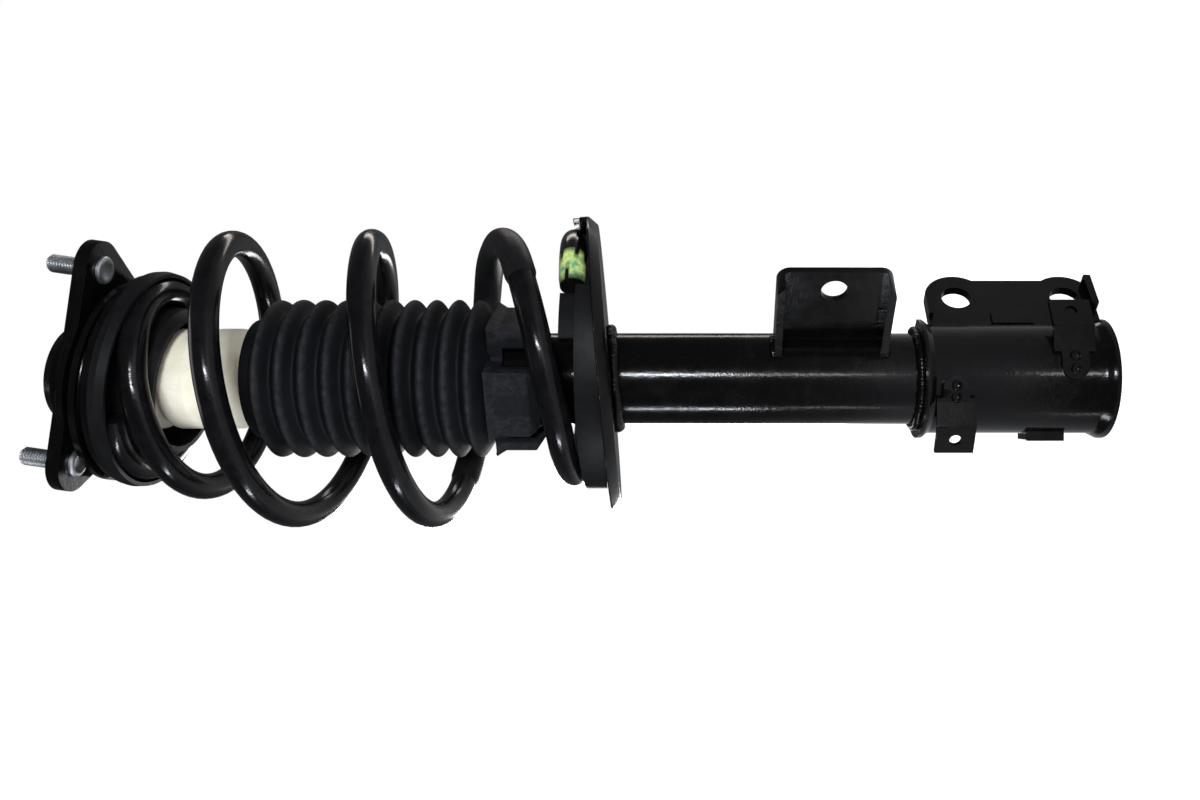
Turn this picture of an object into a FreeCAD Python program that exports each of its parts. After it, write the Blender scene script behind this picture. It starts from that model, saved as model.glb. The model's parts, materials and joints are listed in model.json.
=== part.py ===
"""Front suspension strut: damper, coil spring, bump stop, dust boot and swivelling tower mount.

Everything is modelled about the damper's axis (+Z, tower mount up). The knuckle bracket's ears point
along +X and take two bolts along Y. save() moves each piece so that the origin is midway between
those bolts. Millimetres and degrees; azimuths are measured about Z from +X.
"""
import FreeCAD
import Part
import math
import os

# ---- Damper ----
TUBE_R = 25.5            # reserve tube, outside
TUBE_WALL = 2.5
TUBE_BOTTOM, TUBE_TOP = -44.0, 300.0
PRESSURE_R = 16.0        # pressure tube bore
PRESSURE_WALL = 1.5
ROD_R = 11.0
ROD_NECK_R = 7.0         # threaded end through the tower mount
PISTON_NECK_R = 6.0
RUN = 0.05               # running clearance of rod and piston
STROKE = 90.0            # from full rebound, as built, to the bump stop

# ---- Knuckle bracket ----
EAR_REACH = 43.0         # damper axis to bolt axis
EAR_GAP = 34.0
PLATE = 5.0              # bracket's sheet
BOLT_PITCH = 62.0
BOLT_HOLE_R = 8.5
BOSS_R = 18.0
SADDLE = 3.5             # how far the ear's edge falls back between its bosses
WRAP_BOTTOM, WRAP_TOP = -47.0, 57.0
FLARE = 2.8              # how far the wrap's end rims turn outward

# ---- Anti-roll bar link bracket ----
LINK_Z = 107.0
LINK_WIDTH = 61.0
LINK_REACH = 75.0
LINK_HOLE_Y = -62.0
LINK_HOLE_R = 7.0
LINK_SHEET = 4.0
LINK_WEB_X = 8.5
LINK_OPEN_X = -8.0

# ---- Clip straps ----
STRAP_SHEET = 2.4
STRAP_HOLE_R = 3.2
STRAP_FOOT = 14.5        # width of the foot that is spot-welded to the wrap
FRONT_AZ = -132.0        # side that carries the clip straps
LEAN_AZ = FRONT_AZ + 90  # side towards which the tower mount leans

# ---- Spring and its seats ----
WIRE_R = 7.2
SEAT_Z = 227.5           # underside of the lower seat, on the damper axis
SEAT_TILT = 6.4          # the ears' side of the lower seat is the higher
SEAT_R = 83.0
SEAT_SHEET = 3.0
SEAT_LIP = 3.0
SEAT_GUARD = 11.0        # height of the lip behind the wire's end
SEAT_CENTRE_X = 12.0
COIL_CENTRE_X = 15.8     # lower end coil, offset towards the ears
PAD_TOP = 240.9
PAD_R, PAD_HOLE_R = 74.0, 52.0
PAD_STOP = 9.0           # how far the pad's stop rises beyond the wire's end
PAD_STOP_R = 66.0
PAD_RECESS = 4.9         # how far the pad drops under the wire's end
# turn, height, coil radius, offset of the coil's centre along X
COIL_STATIONS = [
    (0.25, 470.3, 49.8, 0.0),
    (0.50, 456.0, 60.5, 0.0),
    (1.00, 436.0, 75.0, 0.0),
    (1.50, 400.0, 75.8, 0.0),
    (2.00, 360.0, 76.0, 0.0),
    (2.50, 324.5, 76.0, 0.0),
    (2.80, 313.5, 76.0, 0.0),
    (2.90, 305.5, 75.8, 0.5),
    (3.00, 290.5, 75.0, 1.0),
    (3.10, 274.0, 74.2, 3.0),
    (3.25, 256.0, 71.0, 8.0),
    (3.36, 249.6, 68.0, 13.0),
    (3.50, 248.3, 65.8, COIL_CENTRE_X),
    (3.75, 249.0, 65.8, COIL_CENTRE_X),
    (3.88, 249.5, 65.8, COIL_CENTRE_X),
    (4.00, 248.3, 65.8, COIL_CENTRE_X),
    (4.16, 243.6, 65.8, COIL_CENTRE_X),
]
COIL_TOP_TURN = -0.68    # where the wire starts on the upper seat
COIL_TOP_R = 49.5
SLEEVE_TURNS = (2.6, 3.14)

# ---- Tower mount, leaning about its ball bush ----
LEAN = 8.0
BUSH_Z = 507.0           # centre of the ball bush, on the damper axis
BUSH_R = 16.0
BUSH_HALF = 8.5
FACE_Z = 504.4           # underside of the mount plate, on the damper axis
PLATE_SHEET = 3.6
PLATE_RIM = 7.0
STUD_R = 5.0
STUD_KNURL_R = 5.5       # pressed into the plate
STUD_PCD = 120.0
STUD_LENGTH = 28.5
STUD_HEAD_R = 7.5
STUD_OFFSET = 6.3        # stud circle's centre from the swivel axis, towards LEAN_AZ
PLATE_EAR_R = 15.5
CAP_R = 28.0
CAP_TOP = 532.0
BALL_RING_R = 38.0
BALL_R = 2.5
BALL_COUNT = 30
BALL_Z = 498.8
SEAT_OFFSET = 3.0        # upper seat's centre from the swivel axis, towards LEAN_AZ
UPPER_SEAT_TOP = 493.6

# ---- Boot and bump stop ----
BOOT_PEAK_R, BOOT_VALLEY_R = 44.0, 37.0
BOOT_PITCH = 12.4
BOOT_PEAKS = 10
BOOT_LAST_PEAK = 299.5
BOOT_WALL = 1.6
BOOT_END = 263.0
BUMP_TOP, BUMP_BOTTOM = 485.0, 395.0
BUMP_R = 28.0

AXIS = FreeCAD.Vector(0, 0, 1)
ORIGIN = FreeCAD.Vector(0, 0, 0)


# ---- Small helpers ----
def vec(x, y, z):
    return FreeCAD.Vector(x, y, z)


def cyl(radius, low, high, x=0.0, y=0.0):
    return Part.makeCylinder(radius, high - low, vec(x, y, low), AXIS)


def ring(outer, inner, low, high, x=0.0, y=0.0):
    return cyl(outer, low, high, x, y).cut(cyl(inner, low - 1, high + 1, x, y))


def box(x0, x1, y0, y1, z0, z1):
    return Part.makeBox(x1 - x0, y1 - y0, z1 - z0, vec(x0, y0, z0))


def revolved(profile):
    """Solid of revolution about the damper axis from (radius, height) points."""
    points = [vec(r, 0, z) for r, z in profile]
    face = Part.Face(Part.makePolygon(points + points[:1]))
    return face.revolve(ORIGIN, AXIS, 360)


def prism(outline, along):
    """Closed outline of vectors, pushed along a vector."""
    return Part.Face(Part.makePolygon(outline + outline[:1])).extrude(along)


def turned(shape, azimuth):
    turned_shape = shape.copy()
    turned_shape.rotate(ORIGIN, AXIS, azimuth)
    return turned_shape


def sector(outer, inner, low, high, start, sweep):
    """Part of a ring between two azimuths."""
    profile = [vec(inner, 0, low), vec(outer, 0, low), vec(outer, 0, high), vec(inner, 0, high)]
    face = Part.Face(Part.makePolygon(profile + profile[:1]))
    return turned(face.revolve(ORIGIN, AXIS, sweep), start)


def leaned(shape):
    """Lean a piece of the tower mount about the ball bush, towards LEAN_AZ."""
    hinge = math.radians(LEAN_AZ + 90)
    leaned_shape = shape.copy()
    leaned_shape.rotate(vec(0, 0, BUSH_Z), vec(math.cos(hinge), math.sin(hinge), 0), LEAN)
    return leaned_shape


def towards(azimuth, distance):
    angle = math.radians(azimuth)
    return vec(distance * math.cos(angle), distance * math.sin(angle), 0)


def fused(shapes):
    whole = shapes[0]
    for extra in shapes[1:]:
        whole = whole.fuse(extra)
    return whole.removeSplitter()


def save(name, shape):
    """Write one node, in the frame whose origin lies between the knuckle bolts."""
    moved = shape.copy()
    moved.translate(vec(-EAR_REACH, 0, 0))
    moved.exportStep("parts/" + name + ".step")


# ---- Damper ----
def reserve_tube():
    return ring(TUBE_R, TUBE_R - TUBE_WALL, TUBE_BOTTOM, TUBE_TOP)


def base_cap():
    inside = TUBE_R - TUBE_WALL
    return revolved([(0, -41), (8, -41), (12, -44), (inside, -44),
                     (inside, -38), (14, -38), (10, -36), (0, -36)])


def base_valve():
    body = revolved([(0, -34), (9, -34), (9, -31.5), (PRESSURE_R + PRESSURE_WALL, -31.5),
                     (PRESSURE_R + PRESSURE_WALL, -27), (0, -27)])
    ports = [turned(cyl(1.6, -36, -25, 12), 45 * step) for step in range(8)]
    return body.cut(Part.makeCompound(ports))


def pressure_tube():
    return ring(PRESSURE_R + PRESSURE_WALL, PRESSURE_R, -27, 284)


def rod_guide():
    inside = TUBE_R - TUBE_WALL
    return revolved([(12.6, 284), (inside, 284), (inside, 296), (15, 296), (15, 294), (12.6, 294)])


def guide_bush():
    return ring(12.6, ROD_R + RUN, 284, 294)


def rod_seal():
    inside = TUBE_R - TUBE_WALL
    return revolved([(ROD_R + RUN, 294.5), (14.5, 294.5), (14.5, 296), (inside, 296), (inside, 299.5),
                     (14, 299.5), (ROD_R + RUN, 298)])


def striker_cap():
    """Pressed cap on the tube's end, which the bump stop meets."""
    return revolved([(12.5, 300), (TUBE_R, 300), (TUBE_R, 291.5), (TUBE_R + 1.8, 291.5), (TUBE_R + 1.8, 300.5),
                     (TUBE_R - 0.2, 302.4), (12.5, 302.4)])


def piston_rod():
    return revolved([(0, 229), (PISTON_NECK_R - 0.8, 229), (PISTON_NECK_R, 230), (PISTON_NECK_R, 258),
                     (ROD_R, 258), (ROD_R, 496.5), (ROD_R - 2, BUSH_Z - BUSH_HALF),
                     (ROD_NECK_R, BUSH_Z - BUSH_HALF), (ROD_NECK_R, 526.2), (ROD_NECK_R - 1.2, 527.4),
                     (0, 527.4)])


def piston():
    crown = PRESSURE_R - 0.4
    body = revolved([(PISTON_NECK_R, 240), (crown, 240), (crown, 244), (crown - 1.5, 244), (crown - 1.5, 254),
                     (crown, 254), (crown, 258), (PISTON_NECK_R, 258)])
    ports = [turned(cyl(1.3, 238, 260, 10), 45 * step) for step in range(8)]
    return body.cut(Part.makeCompound(ports))


def piston_band():
    return ring(PRESSURE_R - RUN, PRESSURE_R - 1.9, 244, 254)


def hex_nut(across, bore, low, high):
    corner = across / math.sqrt(3)
    outline = [towards(60 * k, corner) + vec(0, 0, low) for k in range(6)]
    body = prism(outline, vec(0, 0, high - low))
    chamfer = revolved([(0, low), (across / 2, low), (corner + 0.5, low + 1.6), (corner + 0.5, high - 1.6),
                        (across / 2, high), (0, high)])
    return body.common(chamfer).cut(cyl(bore, low - 1, high + 1))


def rebound_stop():
    return revolved([(ROD_R, 270), (15, 270), (15, 280), (14, 283.5), (ROD_R, 283.5)])


# ---- Knuckle bracket ----
def ear_plate(middle):
    """One flat ear, centred on the plane y = middle, with a boss round each bolt."""
    half, low, high = BOLT_PITCH / 2, middle - PLATE / 2, middle + PLATE / 2
    root = box(EAR_REACH - 25, EAR_REACH, low, high, WRAP_BOTTOM, half + BOSS_R)
    saddle = box(EAR_REACH - 2, EAR_REACH + BOSS_R - SADDLE, low, high, -half, half)
    bosses = [Part.makeCylinder(BOSS_R, PLATE, vec(EAR_REACH, low, z), vec(0, 1, 0)) for z in (-half, half)]
    trim = box(0, EAR_REACH + BOSS_R + 1, low - 1, high + 1, WRAP_BOTTOM, half + BOSS_R + 1)
    return fused([root, saddle] + bosses).common(trim)


def knuckle_ear(side):
    """Ear on one side of the gap, with the outward flanges at its two ends."""
    outer = side * (EAR_GAP / 2 + PLATE)
    ear = ear_plate(side * (EAR_GAP + PLATE) / 2)
    low_flange = box(EAR_REACH - 10, EAR_REACH + 13, *sorted((outer - side, outer + side * 6)), WRAP_BOTTOM,
                     WRAP_BOTTOM + 4)
    top_flange = box(EAR_REACH - 16, EAR_REACH + 1, *sorted((outer - side, outer + side * 3.2)), 46.5, 49)
    bead = box(21, 29, *sorted((outer - side, outer + side * 1.4)), -9, 14)
    return fused([ear, low_flange, top_flange, bead])


def knuckle_bracket():
    wrap_r = TUBE_R + PLATE
    wrap = revolved([(TUBE_R, WRAP_BOTTOM), (wrap_r + FLARE, WRAP_BOTTOM), (wrap_r + FLARE, WRAP_BOTTOM + 2.5),
                     (wrap_r, WRAP_BOTTOM + 8), (wrap_r, WRAP_TOP - 6), (wrap_r + FLARE, WRAP_TOP - 2.5),
                     (wrap_r + FLARE, WRAP_TOP), (TUBE_R, WRAP_TOP)])
    mouth = box(EAR_REACH - 24.5, 60, -EAR_GAP / 2, EAR_GAP / 2, -80, 80)
    beyond = box(22, 60, -50, 50, -80, 80)
    body = fused([wrap.cut(beyond).cut(mouth), knuckle_ear(-1), knuckle_ear(1)])
    body = body.cut(cyl(TUBE_R, -80, 80))
    for z in (-BOLT_PITCH / 2, BOLT_PITCH / 2):
        body = body.cut(Part.makeCylinder(BOLT_HOLE_R, 120, vec(EAR_REACH, -60, z), vec(0, 1, 0)))
    return body


# ---- Brackets and straps on the tube ----
def link_bracket():
    """Channel that holds the anti-roll bar link's stud, welded across the tube."""
    low, high = LINK_Z - LINK_WIDTH / 2, LINK_Z + LINK_WIDTH / 2
    outside = box(LINK_OPEN_X, LINK_WEB_X, -LINK_REACH, -16, low, high)
    corners = [e for e in outside.Edges if abs(e.BoundBox.YMax + LINK_REACH) < 0.01 and e.BoundBox.XLength > 1]
    outside = outside.makeFillet(7.0, corners)
    inside = box(LINK_OPEN_X - 1, LINK_WEB_X - LINK_SHEET, -LINK_REACH - 1, 0,
                 low + LINK_SHEET, high - LINK_SHEET)
    hole = Part.makeCylinder(LINK_HOLE_R, 40, vec(-20, LINK_HOLE_Y, LINK_Z), vec(1, 0, 0))
    return outside.cut(inside).cut(hole).cut(cyl(TUBE_R, 0, 200))


def strap_outline(route, low, high):
    """Space that a strap fills: a narrower foot with a round end, then its full width."""
    middle, half = (low + high) / 2, STRAP_FOOT / 2
    way = math.copysign(1, route[-1][0] - route[0][0])
    round_centre, shoulder = route[0][0] + way * half, route[2][0] - way * 2
    round_end = Part.makeCylinder(half, 60, vec(0, round_centre, middle), vec(1, 0, 0))
    foot = box(0, 60, *sorted((round_centre, shoulder + way)), middle - half, middle + half)
    tab = box(0, 60, *sorted((shoulder, shoulder + way * 60)), low - 1, high + 1)
    return fused([round_end, foot, tab])


def strap(route, low, high, hole_at):
    """Folded strip that lies on the wrap and ends in a tab with a hole.

    route: (tangential, radial) centre-line points, seen along the damper axis on the FRONT_AZ side.
    """
    half = STRAP_SHEET / 2
    sheets = []
    for (t0, r0), (t1, r1) in zip(route, route[1:]):
        length = math.hypot(t1 - t0, r1 - r0)
        along_t, along_r = (t1 - t0) / length, (r1 - r0) / length
        nx, ny = along_t * half, -along_r * half
        outline = [vec(r0 + nx, t0 + ny, low), vec(r1 + nx, t1 + ny, low),
                   vec(r1 - nx, t1 - ny, low), vec(r0 - nx, t0 - ny, low)]
        sheets.append(prism(outline, vec(0, 0, high - low)))
    sheets += [cyl(half, low, high, r, t) for t, r in route[1:-1]]
    (t0, r0), (t1, r1) = route[-2:]
    length = math.hypot(t1 - t0, r1 - r0)
    along = vec((t1 - t0) / length, -(r1 - r0) / length, 0)
    middle = vec(r0 + (r1 - r0) * hole_at, t0 + (t1 - t0) * hole_at, (low + high) / 2)
    hole = Part.makeCylinder(STRAP_HOLE_R, 20, middle - along * 10, along)
    whole = fused(sheets).common(strap_outline(route, low, high))
    return turned(whole.cut(hole).cut(cyl(TUBE_R + PLATE, -80, 80)), FRONT_AZ)


def hose_strap():
    seat = TUBE_R + PLATE + STRAP_SHEET / 2
    route = [(1, seat), (-7, seat - 0.4), (-13, seat - 2.2), (-26, seat - 0.6), (-40, seat - 9)]
    return strap(route, 30, 51, 0.5)


def wire_strap():
    seat = TUBE_R + PLATE + STRAP_SHEET / 2
    route = [(-1, seat), (8, seat - 0.6), (16, seat - 3.4), (28, seat - 4), (42, seat - 13)]
    return strap(route, -34, -12, 0.55)


def lower_tab():
    block = box(-9, 9, -(TUBE_R + PLATE + 4.2), -(TUBE_R + PLATE - 3), -24, -3)
    return turned(block.cut(cyl(TUBE_R + PLATE, -80, 80)), FRONT_AZ)


# ---- Lower seat, its pad, and the spring ----
def seated(shape):
    """Tilt a piece with the lower seat, about the damper axis at the seat's underside."""
    tilted = shape.copy()
    tilted.rotate(vec(0, 0, SEAT_Z), vec(0, 1, 0), -SEAT_TILT)
    return tilted


def lower_seat():
    low, floor = SEAT_Z, SEAT_Z + SEAT_SHEET
    lip_in = SEAT_R - SEAT_SHEET
    dish = revolved([(0, low), (SEAT_R - 5, low), (SEAT_R, low + 5), (SEAT_R, floor + SEAT_LIP),
                     (lip_in, floor + SEAT_LIP), (lip_in, floor + 2.5), (lip_in - 2.5, floor), (0, floor)])
    guard = sector(SEAT_R, lip_in, floor + 2, floor + SEAT_GUARD, LEAN_AZ - 4, 68)
    guard_step = sector(SEAT_R, lip_in, floor + 2, floor + SEAT_GUARD - 4, LEAN_AZ - 11, 84)
    whole = fused([dish, guard, guard_step])
    whole.translate(vec(SEAT_CENTRE_X, 0, 0))
    drains = [cyl(4.5, low - 5, low + 9, SEAT_CENTRE_X + 46 * math.cos(a), 46 * math.sin(a))
              for a in (math.radians(70), math.radians(190))]
    whole = whole.cut(Part.makeCompound(drains))
    return seated(whole).cut(cyl(TUBE_R, 0, 300))


def coil_azimuth(turn):
    return LEAN_AZ - 360 * turn


def lower_pad():
    """Rubber wedge that carries the end coil level on the tilted seat, with a raised stop."""
    wire_end = coil_azimuth(COIL_STATIONS[-1][0] + 0.01)
    body = ring(PAD_R, PAD_HOLE_R, SEAT_Z - 20, PAD_TOP)
    raised = sector(PAD_STOP_R, PAD_HOLE_R, PAD_TOP - 1, PAD_TOP + PAD_STOP, wire_end - 22, 22)
    recess = sector(PAD_R + 6, PAD_HOLE_R - 6, PAD_TOP - PAD_RECESS, PAD_TOP + 1, wire_end, 55)
    body = fused([body.cut(recess), raised])
    body.translate(vec(COIL_CENTRE_X, 0, 0))
    above_seat = seated(box(-120, 120, -120, 120, SEAT_Z + SEAT_SHEET, SEAT_Z + 80))
    inside_lip = seated(cyl(SEAT_R - SEAT_SHEET, SEAT_Z, SEAT_Z + 80, SEAT_CENTRE_X))
    return body.common(above_seat).common(inside_lip).cut(seat_corner())


def seat_corner():
    """Bend of the dish between floor and lip, which the pad clears."""
    floor, lip_in = SEAT_Z + SEAT_SHEET, SEAT_R - SEAT_SHEET
    bend = revolved([(lip_in - 4, floor - 1), (lip_in + 1, floor - 1), (lip_in + 1, floor + 4)])
    bend.translate(vec(SEAT_CENTRE_X, 0, 0))
    return seated(bend)


def between(stations, turn, column):
    """Smooth curve through the stations: cubic pieces whose slopes never overshoot."""
    xs = [row[0] for row in stations]
    ys = [row[column] for row in stations]
    rises = [(ys[i + 1] - ys[i]) / (xs[i + 1] - xs[i]) for i in range(len(xs) - 1)]
    slopes = [rises[0]]
    for before, after in zip(rises, rises[1:]):
        steady = before * after > 0
        slopes.append(2 * before * after / (before + after) if steady else 0.0)
    slopes.append(rises[-1])
    i = max(k for k in range(len(xs) - 1) if k == 0 or xs[k] <= turn)
    width = xs[i + 1] - xs[i]
    t = (turn - xs[i]) / width
    return ((2 * t ** 3 - 3 * t ** 2 + 1) * ys[i] + (t ** 3 - 2 * t ** 2 + t) * width * slopes[i]
            + (3 * t ** 2 - 2 * t ** 3) * ys[i + 1] + (t ** 3 - t ** 2) * width * slopes[i + 1])


def leaned_point(point):
    rotation = FreeCAD.Rotation(towards(LEAN_AZ + 90, 1), LEAN)
    pivot = vec(0, 0, BUSH_Z)
    return rotation.multVec(point - pivot) + pivot


def upper_coil_point(turn):
    """Centre of the wire where it lies against the leaning upper seat."""
    level = UPPER_SEAT_TOP - 2 - 2.9 - 0.3 - WIRE_R
    flat = towards(LEAN_AZ, SEAT_OFFSET) + towards(coil_azimuth(turn), COIL_TOP_R) + vec(0, 0, level)
    return leaned_point(flat)


def coil_point(turn):
    """Centre of the wire after a number of turns down from the leaning side."""
    if turn <= 0:
        return upper_coil_point(turn)
    first = COIL_STATIONS[0][0]
    radius = between(COIL_STATIONS, max(turn, first), 2)
    offset = between(COIL_STATIONS, max(turn, first), 3)
    height = between(COIL_STATIONS, max(turn, first), 1)
    lower = towards(coil_azimuth(turn), radius) + vec(offset, 0, height)
    if turn >= first:
        return lower
    share = turn / first
    share = share * share * (3 - 2 * share)
    return upper_coil_point(turn) * (1 - share) + lower * share


def swept(first, last, outer, inner=0.0):
    """Round bar, or round hose, along the spring's wire between two turns."""
    steps = round((last - first) * 16)
    points = [coil_point(first + (last - first) * k / steps) for k in range(steps + 1)]
    curve = Part.BSplineCurve()
    curve.interpolate(points)
    path = Part.Wire(curve.toShape())
    start, heading = curve.value(curve.FirstParameter), curve.tangent(curve.FirstParameter)[0]
    outside = path.makePipeShell([Part.Wire(Part.makeCircle(outer, start, heading))], True, False)
    if not inner:
        return outside
    return outside.cut(path.makePipeShell([Part.Wire(Part.makeCircle(inner, start, heading))], True, False))


def coil_spring():
    return swept(COIL_TOP_TURN, COIL_STATIONS[-1][0], WIRE_R)


def spring_sleeve():
    return swept(SLEEVE_TURNS[0], SLEEVE_TURNS[1], WIRE_R + 1.2, WIRE_R + 0.05)


# ---- Dust boot and bump stop ----
def boot_profile(shrink):
    """Outline of the bellows, (radius, height) from the collar down, moved in by shrink."""
    top = BOOT_LAST_PEAK + (BOOT_PEAKS - 1) * BOOT_PITCH
    points = [(33.0 - shrink, top + 12), (33.0 - shrink, top + 7)]
    for k in range(BOOT_PEAKS):
        z = top - k * BOOT_PITCH
        points += [(BOOT_PEAK_R - shrink, z + 1.2), (BOOT_PEAK_R - shrink, z - 1.2)]
        if k < BOOT_PEAKS - 1:
            middle = z - BOOT_PITCH / 2
            points += [(BOOT_VALLEY_R - shrink, middle + 0.8), (BOOT_VALLEY_R - shrink, middle - 0.8)]
    return points + [(28.2 - shrink, 289.5), (28.2 - shrink, BOOT_END)]


def dust_boot():
    outer = boot_profile(0.0)
    inner = boot_profile(BOOT_WALL)
    body = revolved(outer + inner[::-1])
    low, high = BOOT_END, 290.0
    lugs = [turned(box(26, 35.5, -19, 19, low, high), FRONT_AZ - 25 + 90 * k) for k in range(4)]
    wedge = revolved([(0, low - 1), (29, low - 1), (37, low + 8),
                      (37, high - 4), (33, high + 1), (0, high + 1)])
    shells = fused([body] + [lug.common(wedge) for lug in lugs])
    hollows = [turned(box(20, 33.5, -17, 17, low - 1, high - 3), FRONT_AZ - 25 + 90 * k) for k in range(4)]
    notches = [turned(box(20, 40, -4, 4, low - 1, high - 8), FRONT_AZ + 20 + 90 * k) for k in range(4)]
    clear = cyl(28.2 - BOOT_WALL, low - 1, high)
    return shells.cut(Part.makeCompound(hollows)).cut(Part.makeCompound(notches)).cut(clear)


def bump_stop():
    waists = 3
    pitch = (BUMP_TOP - BUMP_BOTTOM - 22) / waists
    profile = [(ROD_R + 0.2, BUMP_TOP), (BUMP_R, BUMP_TOP)]
    for k in range(waists):
        z = BUMP_TOP - 8 - k * pitch
        profile += [(BUMP_R, z), (BUMP_R - 4.5, z - 4), (BUMP_R, z - 8)]
    profile += [(BUMP_R, BUMP_BOTTOM + 16), (19, BUMP_BOTTOM), (ROD_R + 0.2, BUMP_BOTTOM)]
    return revolved(profile)


# ---- Upper seat and bearing ----
def upper_seat():
    top, sheet = UPPER_SEAT_TOP, 2.0
    body = revolved([(31, top), (56, top), (57.6, top - 1.6), (57.6, top - 6.5), (55.6, top - 6.5),
                     (55.6, top - sheet), (33, top - sheet), (33, top - 9), (31, top - 9)])
    body.translate(towards(LEAN_AZ, SEAT_OFFSET))
    return leaned(body)


def upper_pad():
    """Rubber spring pad under the upper seat, with a rim outside the wire and a lip inside it."""
    top = UPPER_SEAT_TOP - 2.0
    rim_low, lip_low = 479.0, 465.0
    rim_in = COIL_TOP_R + WIRE_R + 1.1
    body = revolved([(33.2, top), (55.4, top), (55.4, top - 4.6), (60.0, top - 4.6), (60.6, top - 8),
                     (59.8, rim_low), (rim_in, rim_low), (rim_in, top - 2.9),
                     (42, top - 2.9), (41.5, lip_low + 4), (38.5, lip_low), (35.5, lip_low), (35.5, top - 8),
                     (33.2, top - 8)])
    body.translate(towards(LEAN_AZ, SEAT_OFFSET))
    return leaned(body)


def race(flat, grooved):
    """Bearing race between two heights, with its groove in the grooved face."""
    body = ring(BALL_RING_R + 5.5, BALL_RING_R - 5.5, *sorted((flat, grooved)))
    groove = Part.makeTorus(BALL_RING_R, BALL_R + 0.08, vec(0, 0, BALL_Z), AXIS)
    return leaned(body.cut(groove))


def ball_positions():
    return [towards(360 * k / BALL_COUNT, BALL_RING_R) + vec(0, 0, BALL_Z) for k in range(BALL_COUNT)]


def bearing_balls():
    return leaned(Part.makeCompound([Part.makeSphere(BALL_R, place) for place in ball_positions()]))


def bearing_cage():
    body = ring(BALL_RING_R + 3.5, BALL_RING_R - 3.5, BALL_Z - 1.1, BALL_Z + 1.1)
    pockets = [Part.makeSphere(BALL_R + 0.05, place) for place in ball_positions()]
    return leaned(body.cut(Part.makeCompound(pockets)))


# ---- Tower mount ----
def ball_bush():
    """Steel bush clamped on the rod's neck; the mount swivels on its round outside."""
    centre = vec(0, 0, BUSH_Z)
    ball = Part.makeSphere(BUSH_R, centre)
    slab = cyl(BUSH_R + 1, BUSH_Z - BUSH_HALF, BUSH_Z + BUSH_HALF)
    return ball.common(slab).cut(cyl(ROD_NECK_R, BUSH_Z - 20, BUSH_Z + 20))


def mount_rubber():
    body = revolved([(0, FACE_Z - 5), (30, FACE_Z - 5), (30, FACE_Z), (CAP_R - 2.5, FACE_Z),
                     (CAP_R - 2.5, FACE_Z + 8), (22, FACE_Z + 9), (0, FACE_Z + 9)])
    return leaned(body).cut(Part.makeSphere(BUSH_R + 0.3, vec(0, 0, BUSH_Z))).cut(cyl(15, 490, 500.5))


def stud_places():
    centre = towards(LEAN_AZ, STUD_OFFSET)
    return [centre + towards(FRONT_AZ + turn, STUD_PCD / 2) for turn in (60, -60, 180)]


def plate_blank(radius, low, high):
    """Rounded triangle round the three studs, with the given corner radius."""
    corners = [place + vec(0, 0, low) for place in stud_places()]
    outline = Part.makePolygon(corners + corners[:1])
    return Part.Face(outline.makeOffset2D(radius)).extrude(vec(0, 0, high - low))


def mount_plate():
    low, sheet = FACE_Z, PLATE_SHEET
    pan = fused([plate_blank(PLATE_EAR_R, low, low + PLATE_RIM), ring(52, 30, low, low + sheet)])
    hollow = plate_blank(PLATE_EAR_R - 3, low + sheet, low + PLATE_RIM + 1)
    body = pan.cut(hollow).cut(cyl(CAP_R - 2.5, low - 1, low + 20))
    for place in stud_places():
        body = body.cut(cyl(STUD_KNURL_R, low - 1, low + 20, place.x, place.y))
    return leaned(body)


def mount_shell():
    """Pressed ring under the plate that shields the bearing."""
    return leaned(revolved([(43.8, FACE_Z), (46, FACE_Z), (46, FACE_Z - 4), (56, FACE_Z - 5.2),
                            (56, FACE_Z - 8.6), (53.6, FACE_Z - 8.6), (53.6, FACE_Z - 7), (43.8, FACE_Z - 5.8)]))


def mount_cap():
    inner, base = CAP_R - 2.5, FACE_Z + PLATE_SHEET
    return leaned(revolved([(0, CAP_TOP), (CAP_R - 6, CAP_TOP), (CAP_R - 1.5, CAP_TOP - 1.8), (CAP_R, CAP_TOP - 6),
                            (CAP_R, base + 2.5), (34, base + 2.5), (34, base), (inner, base),
                            (inner, CAP_TOP - 5), (inner - 3, CAP_TOP - 2.5), (0, CAP_TOP - 2.5)]))


def tower_studs():
    low, above, tip = FACE_Z, FACE_Z + PLATE_SHEET, FACE_Z + STUD_LENGTH
    stud = revolved([(0, low - 2.4), (STUD_HEAD_R - 1, low - 2.4), (STUD_HEAD_R, low - 1.4), (STUD_HEAD_R, low),
                     (STUD_KNURL_R, low), (STUD_KNURL_R, above), (STUD_R, above),
                     (STUD_R, tip - 1.4), (STUD_R - 1.4, tip), (0, tip)])
    return leaned(Part.makeCompound([stud.translated(place) for place in stud_places()]))


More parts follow.
